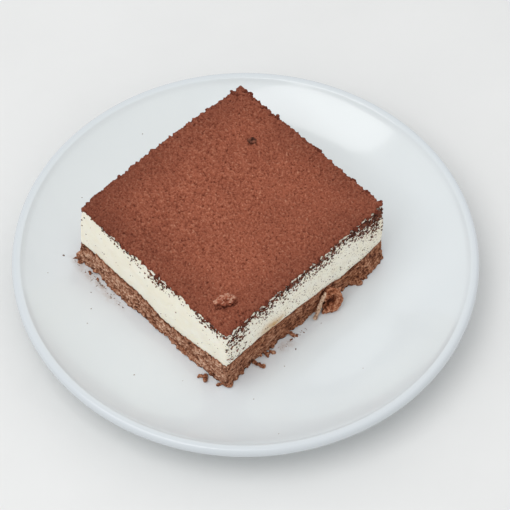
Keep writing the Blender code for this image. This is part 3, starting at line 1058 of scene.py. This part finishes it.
def make_specks(tree):
    """Cocoa that the knife dragged down over the cream."""
    scatter = Scatter(51)
    draw = scatter.draw
    top = TOP - SPECK_TOP
    for side, clusters in SPECK_CLUSTERS.items():
        for middle, half_width, number, depth in clusters:
            for _ in range(int(SPECK_SHARE * number)):
                along = draw.gauss(middle, 0.75 * half_width)
                drop = depth * draw.triangular(0.0, 4.4, 0.9)
                size = draw.triangular(0.4, 2.0, 0.7) * (1.0 if drop < 1.5 * depth else 0.7)
                add_speck(scatter, tree, side, along, top - drop * MM, size)
    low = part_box("mascarpone_cream")[0].z
    for side, number in LOOSE_SPECKS.items():
        for _ in range(number):
            along = draw.uniform(1.0, SIDE_LENGTH)
            height = draw.uniform(low + 2 * MM, top)
            add_speck(scatter, tree, side, along, height, draw.triangular(0.2, 0.7, 0.3))
    add_piece("cocoa_specks", scatter.mesh("cocoa_specks"), speck_finish())


def add_speck(scatter, tree, side, along, height, size):
    """One speck pressed on the cream, if the cream is there."""
    place, normal = edge_point(side, along, tree, height)
    if place is None or abs(normal.z) > 0.5:
        return
    draw = scatter.draw
    level = Vector((0, 0, 1)).cross(normal)
    drawn = (level + Vector((0, 0, draw.uniform(-0.6, 0.6)))).normalized()
    scatter.grain(place, normal, drawn, size * MM, draw.uniform(0.8, 1.3), 0.45)


# Crumbs and dust on the plate


CRUMBS = (
    # distances in mm from the two front sides, then length, width and height in mm
    (-2.9, 9.4, 3.3, 2.3, 2), (-3.9, 11.6, 1.9, 1.4, 1.2), (-1.2, 3.4, 1.8, 1.4, 1.3),
    (17.1, -1.9, 4.4, 1.7, 1.5), (16.4, 0.6, 2, 1.6, 1.6), (22.6, -0.6, 1.8, 1.5, 1.4),
    (25, -0.9, 2.3, 1.5, 1.2), (36.6, -0.6, 2.3, 1.7, 1.5), (37.9, -2.4, 1.4, 0.9, 0.7),
    (34.9, -2.1, 1, 0.7, 0.5), (73.6, -2, 3, 2.2, 2), (77.5, -2.6, 2.2, 1.4, 1.2),
    (-1.9, 79.3, 1.5, 1.1, 0.8), (-1.7, 74.8, 1.3, 0.9, 0.7), (-1.4, 88.2, 2.4, 0.9, 0.9),
    (30, 87.5, 2.2, 1.6, 1.2), (63, 88.3, 1.7, 1.2, 1), (92.3, 30, 2.1, 1.5, 1.2),
    (93.6, 34, 1.2, 0.9, 0.7), (92, 63, 1.6, 1.2, 1),
)
FOOT_CRUMBS = {"front_right": 40, "front_left": 40, "back_right": 30, "back_left": 30}


def level_way(turn):
    return Vector((math.cos(turn), math.sin(turn), 0.0))


def make_crumbs(sponge_tree, plate_tree):
    """Sponge crumbs that lie by the portion or still cling to its foot."""
    draw = random.Random(61)
    balls = []
    for left, right, length, width, height in CRUMBS:
        ground = plate_tree.ray_cast(portion_place(left, right, ABOVE), DOWN)[0]
        turn = draw.uniform(0, math.pi)
        way = level_way(turn)
        for share in (-0.34, -0.12, 0.1, 0.3):
            across = Vector((-way.y, way.x, 0.0)) * draw.uniform(-0.25, 0.25) * width
            up = Vector((0, 0, draw.uniform(0.25, 0.5) * height))
            radii = [width * MM * draw.uniform(0.38, 0.58) for _ in range(3)]
            balls.append((ground + (way * length * share + across + up) * MM, radii, turn))
    for side, number in FOOT_CRUMBS.items():
        for _ in range(number):
            along = draw.uniform(0.5, 85.5)
            height = FLOOR_HEIGHT + draw.uniform(0.8, 2.2) * MM
            place, _ = edge_point(side, along, sponge_tree, height)
            if place is not None:
                size = draw.triangular(0.4, 1.5, 0.5) * MM
                balls.append(loose_ball(draw, place, size, 0.6, 1.2, math.pi))
    crumbs = merged_lumps("sponge_crumbs", balls, CRUMB_VOXEL, (0.22 * MM, 1.2), 24)
    point_attribute(crumbs, "dryness_and_shade", np.full(len(crumbs.vertices), 0.3))
    add_piece("sponge_crumbs", crumbs, sponge_finish("crumb_sponge", shift=2.0))


PLATE_SPECKS = (
    # distances in mm from the two front sides, then the size in mm
    (60.3, 113.2, 0.5), (-13.5, 65.9, 0.7), (-3.5, 57.6, 0.6), (-19.6, 61.6, 0.5), (-4.8, 92.2, 0.9),
    (-16.2, 89, 0.5), (4.2, -11.3, 0.5), (-2.7, -32.4, 0.6), (-22.5, 30.4, 0.6), (-10.1, 15.1, 0.4),
    (-3.8, 64.5, 0.8), (49.2, -5.1, 0.4), (45.5, -32.4, 0.4), (-8, 72, 0.4), (33, -6.5, 0.6),
    (24, -9, 0.4), (100, 60, 0.5), (70, 100, 0.5), (104, 20, 0.4), (20, 108, 0.5),
)


def make_plate_specks(plate_tree):
    """Tiny specks on the glaze, thickest along the dried drips."""
    scatter = Scatter(71)
    draw = scatter.draw
    spots = list(PLATE_SPECKS)
    for start, end, half_width, strength in STAINS:
        for _ in range(int(60 * strength)):
            share = draw.random()
            left = start[0] + share * (end[0] - start[0]) + draw.gauss(0, 0.4 * half_width)
            right = start[1] + share * (end[1] - start[1]) + draw.gauss(0, 0.4 * half_width)
            spots.append((left, right, draw.triangular(0.18, 0.7, 0.3)))
    for left, right, size in spots:
        ground, normal = plate_tree.ray_cast(portion_place(left, right, ABOVE), DOWN)[:2]
        if ground is not None:
            along = level_way(draw.uniform(0, math.tau))
            scatter.grain(ground, normal, along, size * MM, draw.uniform(1.0, 1.8), 0.3)
    add_piece("plate_specks", scatter.mesh("plate_specks"), dust_finish())


# Torn curl


def chain(points, radii, steps):
    """Balls along a path through points given in mm from the two front sides and above the plate."""
    turn = math.atan2(ALONG_FRONT_RIGHT.y, ALONG_FRONT_RIGHT.x)
    balls = []
    for a, b, first, second in zip(points, points[1:], radii, radii[1:]):
        for step in range(steps):
            left, right, height = Vector(a).lerp(Vector(b), step / steps)
            place = portion_place(left, right, FLOOR_HEIGHT + height * MM)
            balls.append((place, Vector(first).lerp(Vector(second), step / steps) * MM, turn))
    return balls


CURL_LOOP = (
    (55.6, -0.9, 6.4), (56.4, -1.1, 8.6), (57.8, -1.3, 10), (59.4, -2.2, 9.6), (60.6, -3.4, 7.8),
    (60.6, -4.2, 5.6), (59.2, -4.6, 3.4), (57.4, -4.4, 1.6), (56.2, -4, 0.9))
CURL_LOOP_RADII = (
    (1, 1.3, 1), (1.1, 1.7, 1), (1.4, 2, 1.1), (1.4, 2, 1.2), (1.2, 2, 1.4),
    (1.2, 1.9, 1.4), (1.4, 1.7, 1.3), (1.5, 1.5, 1.2), (1.2, 1.2, 1))
CURL_LOBE = ((54, -2.4, 0.8), (55.2, -3.2, 1.7), (55.6, -2.8, 3.2))
CURL_LOBE_RADII = ((1.4, 1.1, 0.9), (1.7, 1.4, 1.2), (1.1, 0.9, 0.9))
CURL_BACK = ((56.2, -0.8, 1.8), (58.6, -1.6, 3), (59.6, -1.8, 5), (57.8, -0.6, 7.6))
CURL_BACK_RADII = ((2.2, 1.3, 1.7), (2.6, 1.8, 2.2), (2.2, 1.5, 2.4), (1.6, 1.2, 1.4))
CURL_HOLLOW = (58.2, -1.3, 5)
HOLLOW_HALF_WIDTH = 2.3 * MM
CURL_TIP = ((60.4, -2.6, 8.6), (61.8, -2.9, 9.2), (62.8, -3.1, 9.4))
CURL_TIP_RADII = ((0.8, 0.7, 0.6), (0.6, 0.5, 0.5), (0.35, 0.35, 0.3))
STRIP = (
    (55.8, -0.6, 9.4), (54.2, -0.9, 8.2), (52.6, -1.2, 6.3), (51.4, -1.5, 4.2), (49.8, -1.9, 2.2),
    (48.4, -2.3, 0.8))
STRIP_RADII = (
    (0.9, 0.8, 0.6), (0.95, 0.8, 0.8), (0.85, 0.75, 0.8), (0.95, 0.8, 0.8), (0.85, 0.75, 0.75),
    (1.1, 0.9, 0.8))


def make_curl():
    """A strip of sponge torn by the knife and rolled over, with a paler strip beside it."""
    balls = chain(CURL_LOOP, CURL_LOOP_RADII, 5) + chain(CURL_LOBE, CURL_LOBE_RADII, 3)
    balls += chain(CURL_BACK, CURL_BACK_RADII, 3) + chain(CURL_TIP, CURL_TIP_RADII, 3)
    curl = merged_lumps("torn_curl", balls, CRUMB_VOXEL, (0.32 * MM, 1.0), 25)
    left, right, height = CURL_HOLLOW
    middle = np.array(portion_place(left, right, FLOOR_HEIGHT + height * MM))
    distance = np.linalg.norm(places_of(curl) - middle, axis=1)
    hollow = hump(distance, 0.0, HOLLOW_HALF_WIDTH)
    # Painted shade: the crumb is darkened and given the wet colour in the curl's hollow.
    set_tone(curl, added=-0.6 * hollow)
    point_attribute(curl, "dryness_and_shade", 0.9 - 0.9 * hollow)
    finish = sponge_finish("curl_sponge", shift=5.0, warmth=0.6)
    add_piece("torn_curl", curl, finish, ("torn_sponge_curl",))
    strip = merged_lumps("torn_strip", chain(STRIP, STRIP_RADII, 4), STRIP_VOXEL, (0.3 * MM, 1.3), 26)
    add_piece("torn_strip", strip, pale_strip_finish())


def pale_strip_finish():
    """Crumb that took up cream: beige, with painted shade in brown in its crevices."""
    nodes = Nodes("creamy_crumb")
    fine = nodes.noise(0.5 * MM)
    colour = nodes.ramp(nodes.grained(fine, 0.6), (
        (0.15, (0.16, 0.065, 0.036)), (0.42, (0.50, 0.31, 0.20)), (0.70, (0.78, 0.58, 0.42))))
    return nodes.finish(colour, 0.75, nodes.bump(fine, 0.25 * MM))


# Table, lights and camera


def make_table():
    """A broad flat table top, a hair below the plate's foot."""
    form = bmesh.new()
    lowered = Matrix.Translation((0, 0, -TABLE_GAP))
    bmesh.ops.create_grid(form, x_segments=60, y_segments=60, size=TABLE_REACH, matrix=lowered)
    mesh = bpy.data.meshes.new("table")
    form.to_mesh(mesh)
    form.free()
    mesh.materials.append(table_finish())
    link_object("table", mesh)


def light_scene():
    """A broad soft key high at the front left, in a pale room."""
    light = bpy.data.lights.new("key", "AREA")
    light.size = KEY_SIZE
    light.energy = KEY_POWER
    lamp = link_object("key", light)
    lamp.location = KEY_PLACE
    lamp.rotation_euler = (-Vector(KEY_PLACE)).to_track_quat("-Z", "Y").to_euler()
    world = bpy.data.worlds.new("pale_room")
    world.use_nodes = True
    sky = world.node_tree.nodes["Background"].inputs
    sky["Color"].default_value = (0.99, 0.995, 1.0, 1.0)
    sky["Strength"].default_value = ROOM_STRENGTH
    bpy.context.scene.world = world


def set_camera():
    data = bpy.data.cameras.new("camera")
    data.lens = CAMERA_LENS
    data.sensor_width = SENSOR_WIDTH
    camera = link_object("camera", data)
    back = Vector((0.0, -math.cos(CAMERA_ELEVATION), math.sin(CAMERA_ELEVATION)))
    aim = (-back).to_track_quat("-Z", "Y").to_matrix().to_4x4()
    place = Matrix.Translation(Vector(CAMERA_TARGET) + back * CAMERA_DISTANCE)
    camera.matrix_world = place @ aim @ Matrix.Rotation(CAMERA_ROLL, 4, "Z")
    bpy.context.scene.camera = camera
    bpy.context.scene.view_settings.view_transform = "Standard"


def main():
    plate = make_plate()
    sponge = make_sponge()
    cream = make_cream()
    cocoa = make_cocoa()
    make_cocoa_lumps()
    make_edge_clumps(search_tree(cocoa))
    make_specks(search_tree(cream, cocoa))
    plate_tree = search_tree(plate)
    make_crumbs(search_tree(sponge), plate_tree)
    make_plate_specks(plate_tree)
    make_curl()
    make_table()
    light_scene()
    set_camera()


main()
